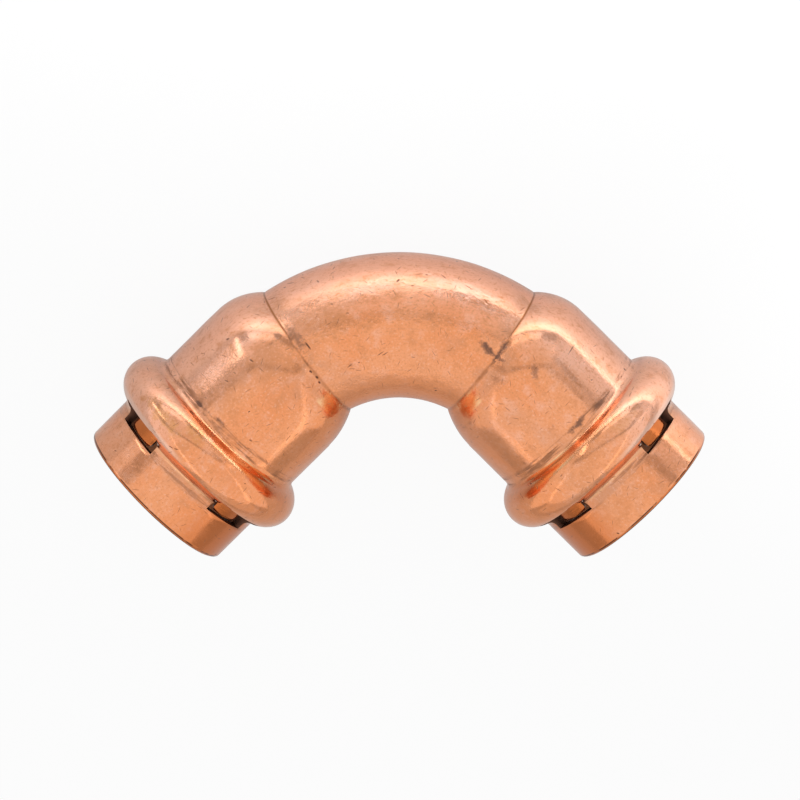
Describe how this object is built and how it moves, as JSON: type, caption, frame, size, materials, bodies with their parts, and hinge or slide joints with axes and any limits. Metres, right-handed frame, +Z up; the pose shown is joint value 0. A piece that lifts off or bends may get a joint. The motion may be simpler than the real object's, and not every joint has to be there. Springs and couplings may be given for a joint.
{
  "type": "press fit elbow fitting",
  "caption": "Right-angle copper elbow for pipework: each beaded socket holds a rubber seal ring and is pressed onto a plain tube end to make a watertight joint.",
  "frame": {"origin": "on the table, under the middle of the elbow's box as it lies at rest on its beads and the underside of its bend", "axes": "+X from the left mouth to the right mouth, +Y from the mouths towards the bend, +Z up from the table"},
  "size_m": [0.0876, 0.0431, 0.0309],
  "materials": {
    "copper": "bright bare copper with light tarnish, scratches and pits",
    "seal_rubber": "matte black moulded rubber"
  },
  "bodies": {
    "root": {"body": "copper", "seal_ring_left": "seal_rubber", "seal_ring_right": "seal_rubber"}
  },
  "joints": []
}
